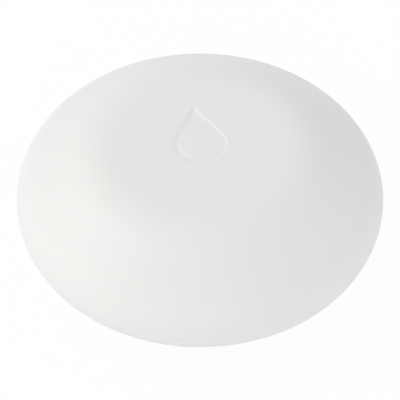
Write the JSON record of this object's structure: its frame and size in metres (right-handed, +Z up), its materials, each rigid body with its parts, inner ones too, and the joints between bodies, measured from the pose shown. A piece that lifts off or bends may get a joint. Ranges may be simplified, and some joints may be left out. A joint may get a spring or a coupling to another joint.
{
  "type": "water leak sensor",
  "caption": "Smooth round floor-standing water leak sensor with sprung probes underneath and a twist-off cover over its battery, siren and radio board.",
  "frame": {"origin": "on the floor under the centre of the round case, at the underside of the foot pads", "axes": "+Z up out of the flat top, +Y towards the point of the drop mark, +X to the right seen from the front"},
  "size_m": [0.072, 0.072, 0.028],
  "materials": {
    "cover_shell": "satin",
    "base_shell": "satin",
    "seal_rubber": "matte",
    "clear_guide": "satin",
    "board_mask": "satin",
    "steel": "satin",
    "battery_can": "satin",
    "contact_plating": "satin",
    "black_plastic": "matte",
    "brass_disc": "satin",
    "led_white": "gloss",
    "capacitor_can": "satin",
    "antenna_copper": "satin",
    "button_tan": "satin",
    "plunger_red": "satin",
    "gold_plating": "polished"
  },
  "bodies": {
    "housing": {"bottom_housing": "base_shell", "circuit_board": "board_mask", "board_screws": "steel", "battery": "battery_can", "battery_contact_positive": "contact_plating", "battery_contact_negative": "contact_plating", "siren_case": "black_plastic", "siren_disc": "brass_disc", "status_led": "led_white", "controller_chip": "black_plastic", "board_capacitors": "capacitor_can", "radio_board": "board_mask", "radio_shield": "steel", "antenna_wire": "antenna_copper", "tamper_switch": "black_plastic", "pair_button_case": "black_plastic", "probe_spring_front": "steel", "probe_spring_left": "steel", "probe_spring_right": "steel", "probe_seals": "seal_rubber"},
    "seal": {"seal_ring": "seal_rubber"},
    "cover": {"top_cover": "cover_shell", "light_guide": "clear_guide"},
    "tamper_plunger": {"tamper_plunger": "plunger_red"},
    "pair_button": {"pair_button_cap": "button_tan"},
    "probe_front": {"probe_front": "gold_plating"},
    "probe_left": {"probe_left": "gold_plating"},
    "probe_right": {"probe_right": "gold_plating"}
  },
  "joints": [
    {"name": "cover_twist", "type": "hinge", "parent": "housing", "child": "seal", "pos_m": [0, 0, 0.0081], "axis": [0, 0, 1], "range_deg": [0, 180]},
    {"name": "cover_rise", "type": "slide", "parent": "seal", "child": "cover", "axis": [0, 0, 1], "range_m": [0, 0.024]},
    {"name": "tamper_release", "type": "slide", "parent": "housing", "child": "tamper_plunger", "axis": [0, 0, 1], "range_m": [0, 0.0015]},
    {"name": "probe_front_spring", "type": "slide", "parent": "housing", "child": "probe_front", "axis": [0, 0, -1], "range_m": [0, 0.0015], "stiffness_N_per_m": 60, "springref_m": 0.002, "deforming": ["probe_spring_front"]},
    {"name": "probe_left_spring", "type": "slide", "parent": "housing", "child": "probe_left", "axis": [0, 0, -1], "range_m": [0, 0.0015], "stiffness_N_per_m": 60, "springref_m": 0.002, "deforming": ["probe_spring_left"]},
    {"name": "probe_right_spring", "type": "slide", "parent": "housing", "child": "probe_right", "axis": [0, 0, -1], "range_m": [0, 0.0015], "stiffness_N_per_m": 60, "springref_m": 0.002, "deforming": ["probe_spring_right"]},
    {"name": "pair_press", "type": "slide", "parent": "housing", "child": "pair_button", "axis": [0, 0, -1], "range_m": [0, 0.0003], "stiffness_N_per_m": 20, "springref_m": -0.0003}
  ],
  "couplings": [
    {"joint": "cover_rise", "follows": "cover_twist", "m_per_rad": 0.0076394},
    {"joint": "tamper_release", "follows": "cover_twist", "m_per_rad": 0.00047746}
  ]
}
